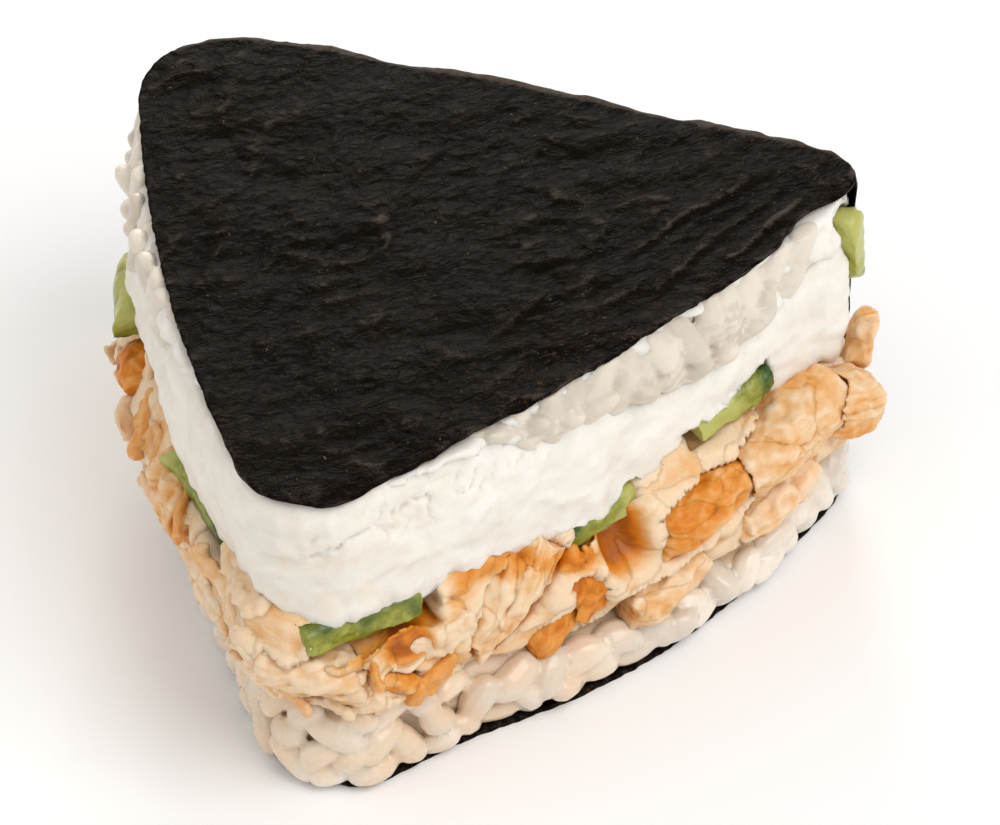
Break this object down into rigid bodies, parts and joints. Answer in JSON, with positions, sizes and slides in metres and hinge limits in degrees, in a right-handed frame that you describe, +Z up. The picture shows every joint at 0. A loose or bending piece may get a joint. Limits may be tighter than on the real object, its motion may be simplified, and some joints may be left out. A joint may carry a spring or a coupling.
{
  "type": "onigiri rice ball",
  "caption": "Layered triangular onigiri with rounded corners: rice, chicken, cucumber, cream cheese and rice folded into one sheet of nori, open on two sides.",
  "frame": {"origin": "middle of the underside's bounding box, on the surface it rests on", "axes": "+X along the folded back edge, towards the sharper back corner; +Y towards the folded back; +Z up through the layers"},
  "size_m": [0.0944, 0.0787, 0.0435],
  "materials": {
    "nori": "roasted seaweed sheet, near black, satin with fine fibre streaks and soft undulation",
    "rice": "cooked short-grain rice, translucent off-white, moist and glossy",
    "cream": "cream cheese, warm off-white, smooth with small lumps, softly translucent",
    "cucumber": "fresh cucumber, pale green flesh with dark green skin, wet",
    "chicken": "torn cooked chicken, peach-beige and fibrous, moist",
    "smoked": "browned outer side of cooked chicken, orange-brown, glossy"
  },
  "bodies": {
    "root": {"nori_wrap": "nori", "rice_top": "rice", "rice_bottom": "rice", "cream_cheese": "cream", "chicken_filling": "chicken", "cucumber_stick_tip": "cucumber", "cucumber_stick_front": "cucumber", "cucumber_stick_right": "cucumber", "cucumber_stick_left_near": "cucumber", "cucumber_stick_left_far": "cucumber", "cucumber_slice_corner": "cucumber", "chicken_shred_tip": "chicken", "chicken_chunk_fibrous": "chicken", "chicken_chunk_low": "chicken", "chicken_chunk_right": "chicken", "chicken_chunk_right_low": "chicken", "chicken_flakes_right": "chicken", "chicken_flake_corner": "chicken", "chicken_lump_left_far": "chicken", "chicken_strip_smoked": "smoked", "chicken_wedge_smoked_low": "smoked", "chicken_wedge_smoked_high": "smoked", "chicken_chunk_smoked": "smoked", "chicken_lump_left": "smoked", "chicken_point_left": "smoked"}
  },
  "joints": []
}
